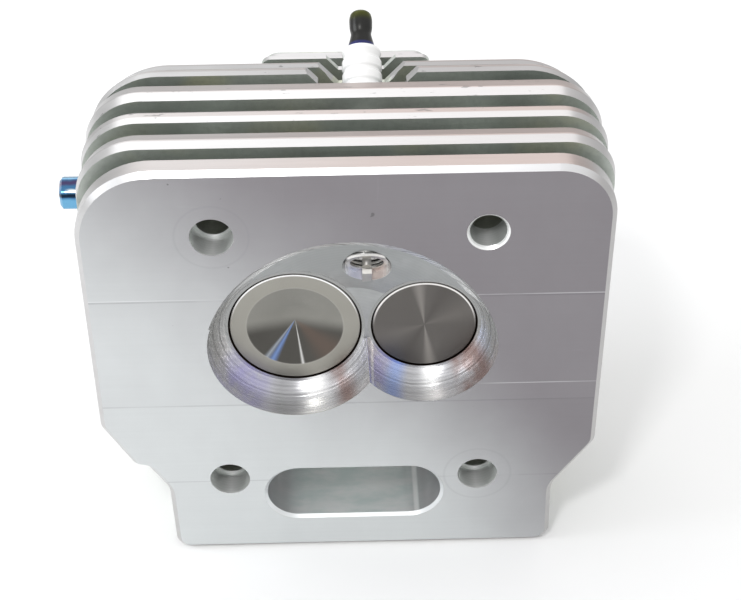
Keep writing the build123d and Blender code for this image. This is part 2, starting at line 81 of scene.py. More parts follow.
# %% [markdown]
# ## Camera
# The gasket face is the front of the object, and the view looks down on it, so the face and the
# tips of the fins behind it both show. The lens is a moderate telephoto: the sides of the plate
# run together a little towards the floor. A camera can be aimed by a constraint or by three
# turns. Turns are plain numbers that stay put, so they are used here: yaw, pitch and roll.

# %% Camera
EYE = mm(-3.07, -367.59, 307.59)
YAW, PITCH, ROLL = (math.radians(a) for a in (1.339, 37.713, -0.344))

camera = bpy.data.objects.new("camera", bpy.data.cameras.new("camera"))
scene.collection.objects.link(camera)
camera.data.lens = 78.82
camera.data.sensor_width = 36
camera.data.clip_start = 0.01
camera.matrix_world = (
    Matrix.Translation(EYE)
    @ Matrix.Rotation(-YAW, 4, "Z")
    @ Matrix.Rotation(math.pi / 2 - PITCH, 4, "X")
    @ Matrix.Rotation(ROLL, 4, "Z")
)
scene.camera = camera
print("camera", round(camera.data.lens, 1), "mm")

# %% [markdown]
# ## Shader arithmetic
# A machined part changes its finish from one zone to the next: a bore, a milled bowl, a cast
# wall. Each zone is a mask worked out from the position on the part. Written as node boxes that
# maths is hard to read, so one small class wraps a socket and makes the usual operators work.
# Every other node comes from one method, which sets the node's options before its sockets.

# %% The socket wrapper
class Wire:
    """A node's output, for use in ordinary arithmetic."""

    def __init__(self, finish, socket):
        self.finish, self.socket = finish, socket

    def maths(self, operation, *values):
        inputs = dict(enumerate(values))
        return self.finish.node("ShaderNodeMath", {"operation": operation}, inputs)

    def __add__(self, other): return self.maths("ADD", self, other)
    def __radd__(self, other): return self.maths("ADD", other, self)
    def __sub__(self, other): return self.maths("SUBTRACT", self, other)
    def __rsub__(self, other): return self.maths("SUBTRACT", other, self)
    def __mul__(self, other): return self.maths("MULTIPLY", self, other)
    def __rmul__(self, other): return self.maths("MULTIPLY", other, self)
    def __truediv__(self, other): return self.maths("DIVIDE", self, other)
    def __rtruediv__(self, other): return self.maths("DIVIDE", other, self)
    def __abs__(self): return self.maths("ABSOLUTE", self)
    def __or__(self, other): return self.maths("MAXIMUM", self, other)
    def __and__(self, other): return self.maths("MINIMUM", self, other)

    def sin(self): return self.maths("SINE", self)
    def root(self): return self.maths("SQRT", self)
    def angle(self, other): return self.maths("ARCTAN2", self, other)

    def above(self, level, soft=0.05):
        """A mask: 1 where the value is over the level, with a soft edge."""
        return self.finish.node(
            "ShaderNodeMapRange", {"interpolation_type": "SMOOTHSTEP"},
            {"Value": self, "From Min": level - soft, "From Max": level + soft})

    def below(self, level, soft=0.05):
        return 1 - self.above(level, soft)

    def band(self, low, high, soft=0.05):
        return self.above(low, soft) * self.below(high, soft)


print("operators:", [m for m in dir(Wire) if m.startswith("__r")])


# %% The finish
class Finish:
    """A material being made. node() makes every node in it."""

    def __init__(self, name):
        self.material = bpy.data.materials.new(name)
        self.material.use_nodes = True
        self.tree = self.material.node_tree
        self.tree.nodes.clear()
        self.place = self.node("ShaderNodeTexCoord", output="Object")
        axes = self.node("ShaderNodeSeparateXYZ", inputs={0: self.place}).socket.node.outputs
        self.x, self.y, self.z = (Wire(self, a) * 1000 for a in axes)
        normal = self.node("ShaderNodeTexCoord", output="Normal")
        faces = self.node("ShaderNodeSeparateXYZ", inputs={0: normal}).socket.node.outputs
        self.nx, self.ny, self.nz = (Wire(self, a) for a in faces)

    def node(self, kind, settings=None, inputs=None, output=0):
        made = self.tree.nodes.new(kind)
        for name, value in (settings or {}).items():
            setattr(made, name, value)
        for key, value in (inputs or {}).items():
            if isinstance(value, Wire):
                self.tree.links.new(value.socket, made.inputs[key])
            elif isinstance(value, tuple) and len(value) == 3 and made.inputs[key].type == "RGBA":
                made.inputs[key].default_value = (*value, 1)
            else:
                made.inputs[key].default_value = value
        return Wire(self, made.outputs[output])

    def mix(self, mask, under, over):
        """A colour over another where the mask is 1."""
        return self.node("ShaderNodeMix", {"data_type": "RGBA"},
                         {0: mask, 6: under, 7: over}, output=2)

    def blend(self, mask, under, over):
        """The same for plain values."""
        return under + (over - under) * mask

    def noise(self, scale, detail=3.0, stretch=(1, 1, 1), turn=(0, 0, 0)):
        """Noise on the part, with about `scale` spots to the metre."""
        where = self.node("ShaderNodeMapping", None,
                          {"Vector": self.place, "Scale": stretch, "Rotation": turn})
        return self.node("ShaderNodeTexNoise", None, {
            "Vector": where, "Scale": scale, "Detail": detail, "Roughness": 0.55})

    def bump(self, height, depth):
        """Relief of that depth in metres."""
        return self.node("ShaderNodeBump", None,
                         {"Height": height, "Strength": 1.0, "Distance": depth})

    def shader(self, **sockets):
        named = {k.replace("_", " ").title().replace("Ior", "IOR"): v for k, v in sockets.items()}
        surface = self.node("ShaderNodeBsdfPrincipled", None, named)
        out = self.tree.nodes.new("ShaderNodeOutputMaterial")
        self.tree.links.new(surface.socket, out.inputs["Surface"])
        return self.material


print("finish helpers ready")

# %% [markdown]
# ## Floor and light
# The head stands on a plain white floor in soft light. Bright metal shows its surroundings more
# than its own colour, so the lights matter as much as the materials: a wide soft light behind
# lights the fin tips' white band, a small one over the viewer's head and a cool one on the left
# light the hot spots in the milled bowls and on the bolt, and a white world fills the rest. The
# white band, the hot spots and the bolt's bands are also painted into the colours, as painted
# highlights and painted shade.
# Lamps with bare bulbs would be quicker to place, but bright metal would show them as points.

# %% Floor
def floor():
    low = cad_box[0].z
    bm = bmesh.new()
    bmesh.ops.create_grid(bm, x_segments=2, y_segments=2, size=6.0)
    bmesh.ops.translate(bm, verts=bm.verts, vec=(0, 0, low - 0.0001))
    mesh = bpy.data.meshes.new("floor")
    bm.to_mesh(mesh)
    piece = bpy.data.objects.new("floor", mesh)
    scene.collection.objects.link(piece)
    paint = Finish("floor_white")
    mottle = paint.noise(3.0)
    paint.shader(base_color=paint.mix(mottle, (0.93, 0.93, 0.93), (0.95, 0.95, 0.95)),
                 roughness=0.9, specular_ior_level=0.1)
    mesh.materials.append(paint.material)
    return piece


print("floor at", round(floor().data.vertices[0].co.z / MM, 1), "mm")


# %% Lights
def softbox(name, place, aim, width, height, watts, tint=(1, 1, 1)):
    """A rectangular soft light aimed at a point of the object."""
    lamp = bpy.data.lights.new(name, "AREA")
    lamp.shape, lamp.size, lamp.size_y = "RECTANGLE", width, height
    lamp.energy, lamp.color = watts, tint
    piece = bpy.data.objects.new(name, lamp)
    scene.collection.objects.link(piece)
    piece.location = place
    piece.rotation_euler = (aim - place).to_track_quat("-Z", "Y").to_euler()
    return piece


softbox("light_over_viewer", Vector((-0.22, -0.54, 0.80)), mm(0, 0, 0), 0.12, 0.12, 2.6)
softbox("light_behind", Vector((-0.10, 0.75, 0.75)), mm(0, 30, 40), 1.2, 0.5, 2.0)
softbox("light_left", Vector((-0.9, 0.0, 0.45)), mm(0, 20, 0), 0.5, 0.5, 3.0, (0.93, 0.96, 1.0))

world = bpy.data.worlds.new("studio")
world.use_nodes = True
world.node_tree.nodes["Background"].inputs["Color"].default_value = (1, 1, 1, 1)
world.node_tree.nodes["Background"].inputs["Strength"].default_value = 0.82
scene.world = world
scene.view_settings.view_transform = "Standard"

# %% [markdown]
# ## The head casting's finish
# One casting carries many finishes: the joint face is flycut, the bowls are milled with a ball
# cutter, holes are drilled and bored, the fin tips are linished and all the rest keeps the skin
# of the mould. It could be cut into pieces with a material each, but the joints would show. One
# material with a mask for each zone keeps the casting whole, and the masks follow its real
# dimensions, so they land where the cutters went.

# %% Where the zones are
VALVE_Z = 5.5
INTAKE, EXHAUST = (-16.8, VALVE_Z), (21.8, VALVE_Z)
INTAKE_BOWL_R, EXHAUST_BOWL_R, CUSP_X, CHAMBER_R = 25.6, 21.2, 6.1, 44.3
BOLT_X, BOLT_Z, BORE_R = 38.6, 46.2, 7.4
SLOT_X, SLOT_Z, SLOT_R = 17.25, -53.2, 10.0
PLUG_SEAT, PLUG_AXIS, PLUG_HOLE_R = (4.7, 22.69, 42.20), (0, 0.8141, 0.5807), 7.04
EDGE_X, EDGE_Z, COVER_Y = 76.0, 67.0, 85.3
# where each fin's tip starts and ends along Y
FIN_BANDS = [(12.3, 19.9), (26.1, 31.9), (38.2, 46.7), (52.2, 56.0), (62.8, 65.8)]


def away(finish, x, z):
    """Distance in mm from a line along Y."""
    return ((finish.x - x) * (finish.x - x) + (finish.z - z) * (finish.z - z)).root()


print("zones for", len(FIN_BANDS), "fins, bowls of", INTAKE_BOWL_R, "and", EXHAUST_BOWL_R, "mm")


# %% [markdown]
# ## Skin, tips and joint face
# Three finishes cover most of the outside: the mould's own skin, the fin tips that were ground
# on a belt, and the flycut face that seals on the gasket. They could be painted, but noise that
# is stretched the way the tool moved gives the same streaks, and never repeats on a long fin.

# %% Cast skin, fin tips and joint face
def cast_skin(f, coarse, fine):
    """Grey-green skin of the mould, a little yellow in patches."""
    colour = f.mix(coarse.above(0.5, 0.25), (0.47, 0.505, 0.47), (0.68, 0.71, 0.67))
    colour = f.mix(f.noise(35, 2).above(0.58, 0.08) * 0.5, colour, (0.74, 0.72, 0.52))
    return f.mix(fine.above(0.60, 0.2) * 0.3, colour, (0.32, 0.35, 0.32))


def fin_tips(f, streak):
    """Linished tips: white towards the joint face as painted light, and darker, rose at the back towards the
    right as painted shade.
    """
    # painted shade: the back half of each tip and the plate's top band take the darker copies below
    painted_shade_backs = f.y.band(1.55, 7.0, 0.1)
    for front, back in FIN_BANDS:
        painted_shade_backs = painted_shade_backs + f.y.band(front + 0.45 * (back - front), back + 0.3, 0.3)
    white = f.mix(streak, (0.60, 0.598, 0.60), (0.78, 0.775, 0.777))
    rose = f.mix(streak, (0.40, 0.33, 0.31), (0.52, 0.445, 0.42))
    silver = f.mix(streak, (0.46, 0.45, 0.447), (0.63, 0.62, 0.618))
    # painted shade on the back halves: rose on upward faces, more so towards the right, silver elsewhere
    warm = 0.30 + 0.70 * f.x.above(-10, 45)
    warm = warm * f.nz.above(0.8, 0.1) * f.x.above(-62, 8)
    # painted shade: the white darkens towards the right
    white = f.mix(f.x.above(-5, 50) * 0.45, white, (0.50, 0.465, 0.46))
    tip = f.mix(painted_shade_backs, white, f.mix(warm, silver, rose))
    # painted shade on the side faces of the tips
    painted_flank_shade = f.nx.above(0.45, 0.3)
    tip = f.mix(painted_flank_shade * 0.6, tip, (0.40, 0.40, 0.40))
    tip = f.mix(f.nx.below(-0.4, 0.3) * 0.5, tip, (0.42, 0.415, 0.41))
    # painted highlight on the front chamfer
    bevel = f.y.below(1.5, 0.05) * f.ny.below(-0.4, 0.1) * f.nz.above(0.60, 0.12)
    tip = f.mix(bevel, tip, (0.86, 0.86, 0.87))
    nicks = f.noise(560, 4, stretch=(0.25, 1, 1)).above(0.66, 0.02) * f.y.above(24)
    return f.mix(nicks * 0.5, tip, (0.12, 0.12, 0.12))


def joint_face(f, coarse, lay):
    """Flycut face: a painted reflection that runs from pale to slate, with a line where each pass ended."""
    x, z = f.x, f.z
    # painted reflection: pale at the lower left, slate at the upper right
    painted_reflection = (x * 0.85 + z * 1.05 + ((x - 20) | 0.0) * 0.5 + coarse * 30 - 15).above(0, 62)
    face = f.mix(painted_reflection, (0.66, 0.683, 0.687), (0.235, 0.22, 0.235))
    # painted reflection: paler still along the bottom on the left
    face = f.mix(z.below(-40, 20) * 0.45 * x.below(30, 25), face, (0.74, 0.77, 0.77))
    passes = z.band(-15.6, 24, 0.25) * 0.06 + z.below(-47, 0.3) * 0.03
    face = f.mix(passes, face, (0.42, 0.41, 0.43))
    face = f.mix(lay * 0.10, face, (0.40, 0.40, 0.41))
    patchy = coarse.above(0.42, 0.15)
    ends = z.band(23.7, 24.2, 0.2) + z.band(-15.9, -15.5, 0.2) + z.band(-47.2, -46.9, 0.2)
    face = f.mix(ends * 0.30 * patchy, face, (0.14, 0.13, 0.15))
    # painted highlights: thin bright lines along two pass lines
    painted_glints = z.band(24.3, 24.6, 0.15) + z.band(-9.2, -8.9, 0.15) * x.above(40, 5)
    face = f.mix(painted_glints * 0.35 * patchy, face, (0.92, 0.92, 0.94))
    scratch = f.noise(330, 4, stretch=(1.0, 1, 0.10), turn=(0, 0.5, 0)).above(0.69, 0.02)
    across = f.noise(380, 4, stretch=(0.12, 1, 1.0), turn=(0, 0.2, 0)).above(0.70, 0.02)
    smudge = f.noise(75, 4, stretch=(1, 1, 0.6)).above(0.5, 0.22)
    face = f.mix(smudge * 0.07, face, (0.36, 0.36, 0.37))
    from_x, from_z = abs(x) - BOLT_X, abs(z) - BOLT_Z
    washer = (from_x * from_x + from_z * from_z).root()
    ring = washer.band(10.1, 10.7, 0.3) * (x * z).below(0, 1)
    face = f.mix(ring * 0.13, face, (0.22, 0.22, 0.24))
    pits = f.noise(240, 2).above(0.76, 0.01)
    face = f.mix((scratch + across) * 0.02, face, (0.72, 0.72, 0.74))
    return f.mix(pits * 0.6, face, (0.10, 0.10, 0.10))


print("joint face and tips ready")

# %% [markdown]
# ## The milled chamber
# The two bowls are swept by a ball cutter that circles each valve, so the tool marks are arcs
# beside each rim, and they fan out where the two bowls meet. Polished walls like these split the
# light into a hot streak at the bottom, blue on one side of it and rust on the other. Here the
# streak, the bright lower walls and the bright ridge are painted highlights, the blue, violet and
# rust tints are painted reflections, and a patch beside the streak is painted shade. The angle
# round each valve, measured from straight down, says where on a wall a point lies.

# %% The chamber walls
def chamber_finish(f, coarse, flat_is_roof=True):
    """Colour, roughness and relief inside the chamber."""
    x, z = f.x, f.z
    from_in, from_ex = away(f, *INTAKE), away(f, *EXHAUST)
    right = (from_ex / EXHAUST_BOWL_R - from_in / INTAKE_BOWL_R).below(0, 0.015)
    swing_in = (x - INTAKE[0]).angle(VALVE_Z - z)
    swing_ex = (x - EXHAUST[0]).angle(VALVE_Z - z)
    swing = f.blend(right, swing_in, swing_ex)
    reach = f.blend(right, from_in, from_ex)
    roof = f.ny.below(-0.90, 0.02) * (1.0 if flat_is_roof else 0.0)
    wall = 1 - roof

    # tool marks: arcs beside each rim, a step now and then, and a fan where the bowls meet
    depth = reach - f.y * 0.8
    arcs = (depth * 4.2 + coarse * 1.8 + swing * 1.5).sin() * 0.5 + 0.5
    steps = (depth * 1.7 + coarse * 2.8 + swing * 0.8).sin().above(0.80, 0.12)
    ripple = (swing * 46.0 + depth * 1.6).sin() * 0.5 + 0.5
    fans = abs(swing).above(0.75, 0.3) * abs(swing).below(1.9, 0.3)
    marks = arcs * 0.6 + ripple * fans * 0.4

    # the walls' own grey, then the painted tints of reflection and the painted hot streak by the angle round
    # the valve
    low = abs(swing).below(1.15, 0.45)
    tone = f.mix(marks, (0.60, 0.605, 0.60), (0.46, 0.465, 0.46))
    pale = f.mix(marks, (0.62, 0.62, 0.64), (0.43, 0.43, 0.45))
    tone = f.mix(low, tone, pale)
    tone = f.mix(steps * (0.50 - low * 0.22), tone, (0.17, 0.17, 0.17))
    # painted highlight on the lower walls near the rim
    tone = f.mix(low * f.y.below(5, 4) * 0.35, tone, (0.97, 0.97, 0.98))
    # painted reflections: violet, blue and rust tints by the angle round the valve
    violet = swing.band(-1.05, -0.42, 0.22) * f.noise(120, 3).above(0.42, 0.2)
    tone = f.mix(violet * 0.65, tone, (0.40, 0.37, 0.72))
    blue = swing.band(-0.62, -0.36, 0.12) * right
    tone = f.mix(blue * 0.7, tone, (0.36, 0.50, 0.92))
    painted_russet_reflection = swing.band(0.52, 0.78, 0.12) | swing.band(0.55, 1.15, 0.15) * right
    painted_russet_reflection = painted_russet_reflection * f.noise(140, 3).above(0.40, 0.2)
    tone = f.mix(painted_russet_reflection * 0.75, tone, (0.30, 0.17, 0.14))
    # painted highlight: the hot streak at the bottom of each bowl, with a lighter shoulder round it
    aim = f.blend(right, 0.28, 0.10)
    painted_hot_streak = abs(swing - aim).below(0.12, 0.09)
    painted_streak_shoulder = abs(swing - aim).below(0.20, 0.12)
    # painted shade beside the intake bowl's streak
    painted_shade = swing.band(-0.30, 0.06, 0.10) * (1 - right)
    tone = f.mix(painted_shade * 0.40, tone, (0.22, 0.22, 0.23))
    tone = f.mix(painted_streak_shoulder * 0.5, tone, (0.85, 0.85, 0.86))
    tone = f.mix(painted_hot_streak, tone, (1.0, 1.0, 1.0))
    # painted highlight along the ridge where the bowls meet
    painted_ridge_highlight = abs(x - CUSP_X).below(0.35, 0.35) * z.band(-17, 0, 1.0)
    tone = f.mix(painted_ridge_highlight * 0.8, tone, (0.95, 0.95, 0.95))

    # the flat roof, with the plug's hole in it
    sweep = (away(f, 0, 0) * 5.5 + coarse * 3).sin() * 0.5 + 0.5
    swirl = f.noise(300, 4).above(0.45, 0.2) * f.noise(40, 2).above(0.52, 0.1)
    ceiling = f.mix(sweep * 0.25 + coarse * 0.3, (0.33, 0.34, 0.34), (0.40, 0.41, 0.41))
    ceiling = f.mix(swirl * 0.3, ceiling, (0.55, 0.56, 0.56))
    between = abs(x - 4.3).below(5, 4) * z.below(12, 8)
    ceiling = f.mix(between * 0.4, ceiling, (0.27, 0.265, 0.29))
    side = x - PLUG_SEAT[0]
    slant = (z - PLUG_SEAT[2]) * PLUG_AXIS[1] - (f.y - PLUG_SEAT[1]) * PLUG_AXIS[2]
    plug_hole = (side * side + slant * slant).root().below(PLUG_HOLE_R, 0.02)
    colour = f.mix(roof, tone, ceiling)
    # the plug's hole: a painted highlight over its wall, tinted as painted reflection blue on the left and
    # pink on the right where it lies lowest, and painted shade on its upper side
    tint = f.mix(side.above(0, 3.0), (0.62, 0.66, 0.98), (0.86, 0.60, 0.52))
    silver = f.mix(slant.below(-4.5, 1.5) * 0.5, (0.95, 0.96, 0.96), tint)
    silver = f.mix(slant.above(-1.5, 2.0), silver, (0.16, 0.17, 0.16))
    colour = f.mix(plug_hole, colour, silver)
    rough = f.blend(roof, 0.24 + marks * 0.08, 0.30)
    relief = (marks * 0.22 + steps * 0.3) * wall + sweep * roof * 0.04
    return colour, rough, relief


print("chamber ready")


# %% [markdown]
# ## The whole casting
# The zones now go over the cast skin one after another, as the machining did: tips, joint face,
# chamber, bolt holes, slot, and the faces at the back and the sides. Each zone could be a
# material of its own, mixed in by a shader. Mixing colour, roughness and relief before one
# shader gives the same look with a single surface to bake.

# %% The head casting's finish
def head_finish():
    f = Finish("head_aluminium_machined")
    x, y, z = f.x, f.y, f.z
    coarse, fine, grain = f.noise(28, 4), f.noise(420, 4), f.noise(2600, 2)
    lay = f.noise(900, 2, stretch=(0.02, 1, 1.0))
    streak = f.noise(260, 3, stretch=(0.10, 1.0, 1.0))

    # zones
    front = f.ny.below(-0.9, 0.02) * y.below(0.3)
    outer = ((abs(x) / EDGE_X) | (z / EDGE_Z)).above(0.885, 0.004)
    low_edge = y.below(6.85) * ((abs(x).above(54.5, 0.3) * z.below(-20)) | z.below(-75.5))
    tips = abs(f.ny).below(0.93, 0.02) * (outer | low_edge) * y.below(66.5)
    tips = tips | (f.nz.above(0.8, 0.1) * z.above(56) * y.band(70, 85))
    inside = away(f, 0, 0).below(CHAMBER_R, 0.1) * y.band(0.12, 12, 0.05)
    bores = 0
    for bolt_x in (-BOLT_X, BOLT_X):
        for bolt_z in (-BOLT_Z, BOLT_Z):
            bores = bores + away(f, bolt_x, bolt_z).below(BORE_R, 0.1)
    bores = bores * y.above(0.05) * y.below(60)
    end = (abs(x) - SLOT_X) | 0.0
    slot = (end * end + (z - SLOT_Z) * (z - SLOT_Z)).root().below(SLOT_R + 1.3, 0.05)
    slot = slot * y.above(0.02, 0.01) * y.below(52)
    cover = f.ny.above(0.97, 0.01) * y.above(COVER_Y)
    flanges = f.nx.below(-0.97, 0.01) * x.below(-77.8)
    flanges = flanges + f.nx.above(0.97, 0.01) * x.band(61.8, 62.2)

    colour = cast_skin(f, coarse, fine)
    rough = 0.40 + fine * 0.2
    relief = fine * 0.5 + grain * 0.4

    colour = f.mix(tips, colour, fin_tips(f, streak))
    rough = f.blend(tips, rough, 0.26 + streak * 0.12)
    relief = f.blend(tips, relief, streak * 0.2 + grain * 0.1)

    colour = f.mix(front, colour, joint_face(f, coarse, lay))
    rough = f.blend(front, rough, 0.33 + lay * 0.10)
    relief = f.blend(front, relief, lay * 0.06)

    milled, milled_rough, milled_relief = chamber_finish(f, coarse)
    colour = f.mix(inside, colour, milled)
    rough = f.blend(inside, rough, milled_rough)
    relief = f.blend(inside, relief, milled_relief)

    # bored holes: a painted highlight along the middle, painted shade past the dowel step, and a painted
    # highlight on the lip
    rings = (y * 5.5 + coarse * 2).sin() * 0.5 + 0.5
    middle = abs(abs(x) - BOLT_X).below(1.2, 2.2)
    hole = f.mix(middle, (0.70, 0.72, 0.705), (1.0, 1.0, 1.0))
    hole = f.mix(rings * 0.10, hole, (0.38, 0.39, 0.38))
    hole = f.mix(y.above(9.3, 0.2), hole, (0.32, 0.33, 0.29))
    hole = f.mix(y.below(0.5, 0.15), hole, (1.0, 1.0, 1.0))
    colour = f.mix(bores, colour, hole)
    rough = f.blend(bores, rough, 0.30)
    relief = f.blend(bores, relief, rings * 0.15)

    # the slot's wall carries cutter chatter behind a bright lip; the wall is painted pale to stand
    # in for light, its round ends darker as painted shade, with a painted highlight line near each end
    chatter = f.noise(170, 4, stretch=(0.5, 1, 1.0))
    wall = f.mix(chatter.above(0.5, 0.2), (0.80, 0.87, 0.86), (1.0, 1.0, 1.0))
    wall = f.mix(abs(x).above(19, 4) * 0.7, wall, (0.38, 0.37, 0.39))
    wall = f.mix(x.band(19.2, 20.7, 0.4), wall, (1.0, 1.0, 1.0))
    wall = f.mix(y.below(1.02, 0.02), wall, (0.80, 0.82, 0.83))
    colour = f.mix(slot, colour, wall)
    rough = f.blend(slot, rough, 0.42)
    relief = f.blend(slot, relief, chatter * 0.15)

    # faces at the back and the sides that other parts bolt to
    swirl = (away(f, 0, -15) * 2.6).sin() * 0.5 + 0.5
    flat = f.mix(swirl * 0.4 + lay * 0.3, (0.64, 0.645, 0.65), (0.48, 0.48, 0.49))
    other = cover | flanges
    colour = f.mix(other, colour, flat)
    rough = f.blend(other, rough, 0.30)
    relief = f.blend(other, relief, swirl * 0.1)

    # a lower metallic value keeps the milled and bored walls bright; it is a choice for the look
    metal = 0.96 - (inside * f.ny.above(-0.9, 0.02) + bores + slot * 0.4) * 0.40
    return f.shader(base_color=colour, metallic=metal, roughness=rough,
                    normal=f.bump(relief, 0.00009))


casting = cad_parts["head_casting"]
casting.data.materials.clear()
casting.data.materials.append(head_finish())
print("head finish:", len(casting.data.materials[0].node_tree.nodes), "nodes")

# %% [markdown]
# ## Turned parts
# Valves, seats, guides and the plug all come off a lathe. Each can be made as a cylinder pushed
# about, or by drawing half of its outline and spinning it round its axis. The spin is how the
# lathe works, so that is the way here: a profile of (radius, distance) points in millimetres
# goes round once, and the seam and the poles are welded.

# %% Helpers for new pieces
def settle(bm, name, material, place=Matrix.Identity(4), sharp=32):
    """Welds a mesh, smooths all but its sharp edges, and puts it in the scene."""
    bmesh.ops.remove_doubles(bm, verts=bm.verts, dist=0.000004)
    bmesh.ops.recalc_face_normals(bm, faces=bm.faces)
    bm.transform(place)
    for face in bm.faces:
        face.smooth = True
    for edge in bm.edges:
        flat = len(edge.link_faces) == 2 and edge.calc_face_angle(0) < math.radians(sharp)
        edge.smooth = flat
    mesh = bpy.data.meshes.new(name)
    bm.to_mesh(mesh)
    bm.free()
    mesh.materials.append(material)
    piece = bpy.data.objects.new(name, mesh)
    scene.collection.objects.link(piece)
    return piece


def along(origin, direction):
    """A placement whose Z runs along a direction."""
    turn = Vector(direction).to_track_quat("Z", "Y").to_matrix().to_4x4()
    return Matrix.Translation(mm(*origin)) @ turn


def spun(bm, profile, steps=96):
    """Spins a profile of (radius, height) in mm round the Z axis."""
    points = [bm.verts.new(mm(r, 0, t)) for r, t in profile]
    edges = [bm.edges.new(pair) for pair in zip(points, points[1:])]
    bmesh.ops.spin(bm, geom=points + edges, cent=(0, 0, 0), axis=(0, 0, 1),
                   angle=math.tau, steps=steps, use_merge=True)
    return bm


def fit(piece, body, node):
    """Puts a piece in a CAD node's stead."""
    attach(piece, body)
    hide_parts(node)
    print(f"{piece.name}: {len(piece.data.polygons)} faces, for {node}")
    return piece


def rounded(profile, radius=0.25, cuts=3):
    """The same profile with its corners rounded, so that edges catch the light."""
    out = [profile[0]]
    for a, b, c in zip(profile, profile[1:], profile[2:]):
        to_a, to_c = Vector(a) - Vector(b), Vector(c) - Vector(b)
        r = min(radius, to_a.length * 0.4, to_c.length * 0.4)
        start, end = Vector(b) + to_a.normalized() * r, Vector(b) + to_c.normalized() * r
        for i in range(cuts + 1):
            t = i / cuts
            out.append(tuple(start * (1 - t) ** 2 + Vector(b) * 2 * t * (1 - t) + end * t ** 2))
    return out + [profile[-1]]


print("lathe ready")

# %% [markdown]
# ## Metals
# Most of the small parts are steel with one of a few finishes. What tells them apart is the
# colour, how rough they are, and the direction of the tool marks: rings on turned parts, a fine
# random grain on blasted or plated ones. One recipe takes those as numbers.

# %% Steel finishes
def steel(name, dark, light, rough=0.3, axis=None, pitch=0.25, depth=0.00001):
    """Metal with a grain, and turning marks round an axis (x, z in mm, along Y) if one is given."""
    f = Finish(name)
    cloud = f.noise(60, 3)
    fine = f.noise(900, 3)
    relief = fine
    tone = cloud * 0.6 + fine * 0.4
    if axis is not None:
        radius = away(f, *axis)
        marks = ((radius + f.y * 0.7) * (math.tau / pitch) + cloud * 2).sin() * 0.5 + 0.5
        relief = marks * 0.7 + fine * 0.3
        tone = tone * 0.7 + marks * 0.3
    worn = f.noise(220, 5).above(0.63, 0.05)
    colour = f.mix(tone, dark, light)
    colour = f.mix(worn * 0.35, colour, tuple(min(1, c * 1.3 + 0.03) for c in light))
    return f.shader(base_color=colour, metallic=1.0, roughness=rough + tone * 0.14,
                    normal=f.bump(relief, depth))


print("steel recipe ready")

# %% [markdown]
# ## Valves
# The intake valve has a flat rim and a polished dish that runs to a point. The streaks on its
# dish are painted reflections, its darker lower half is painted shade, and the bright top of its
# edge is a painted highlight. The exhaust valve is flat, faced on a lathe, and its tool marks
# throw the light into a bow tie. Anisotropic shading can do that, but it is lost when a model is
# baked, so the fan of light is worked out from the angle round the stem and laid into the colour.

# %% Valve finishes
def fan(f, axis, turn, width):
    """A narrow two-ended fan of light round an axis, 1 along its middle."""
    angle = (f.x - axis[0]).angle(f.z - axis[1])
    return abs((angle - turn).sin()).below(width, width)


def intake_face():
    f = Finish("valve_intake_polished")
    radius = away(f, *INTAKE)
    cloud, fine = f.noise(90, 4), f.noise(1500, 2)
    marks = (radius * 21.0).sin() * 0.5 + 0.5
    rim = f.mix(cloud * 0.6 + marks * 0.4, (0.29, 0.28, 0.25), (0.38, 0.37, 0.335))
    angle = (f.x - INTAKE[0]).angle(f.z - INTAKE[1])
    dish = f.mix(cloud, (0.22, 0.215, 0.195), (0.30, 0.295, 0.27))
    # painted shade: the dish's lower half is darker
    painted_lower_shade = f.z.below(VALVE_Z - 0.5, 3.0)
    dish = f.mix(painted_lower_shade * 0.82, dish, (0.045, 0.042, 0.038))
    # painted reflections: a russet band and blue, pale and white streaks on the dish
    painted_russet = angle.band(2.0, 2.6, 0.25)
    dish = f.mix(painted_russet * 0.4, dish, (0.17, 0.115, 0.09))
    blue = abs(angle + 2.62).below(0.05, 0.09)
    pale = abs(angle + 2.48).below(0.02, 0.08)
    white = abs(angle - 3.00).below(0.015, 0.045)
    dish = f.mix(blue * 0.7, dish, (0.22, 0.36, 0.74))
    dish = f.mix(pale * 0.55, dish, (0.66, 0.74, 0.86))
    dish = f.mix(white * 0.9, dish, (0.92, 0.92, 0.90))
    inner = radius.below(14.45, 0.08)
    face = f.ny.below(-0.5, 0.1)
    colour = f.mix(inner * face, rim, dish)
    # painted highlight: a thin bright ring round the dish
    band = radius.band(14.2, 14.7, 0.06) * face
    colour = f.mix(band * 0.12, colour, (0.60, 0.585, 0.55))
    # painted highlight on the top of the valve's edge
    edge = radius.above(18.9, 0.15) * f.y.below(13.0) * f.z.above(VALVE_Z + 8, 6)
    colour = f.mix(edge, colour, (0.97, 0.97, 0.97))
    return f.shader(base_color=colour, metallic=1.0, roughness=0.30 - inner * 0.06 + marks * 0.06,
                    normal=f.bump(marks * 0.5 + fine * 0.4, 0.00001))


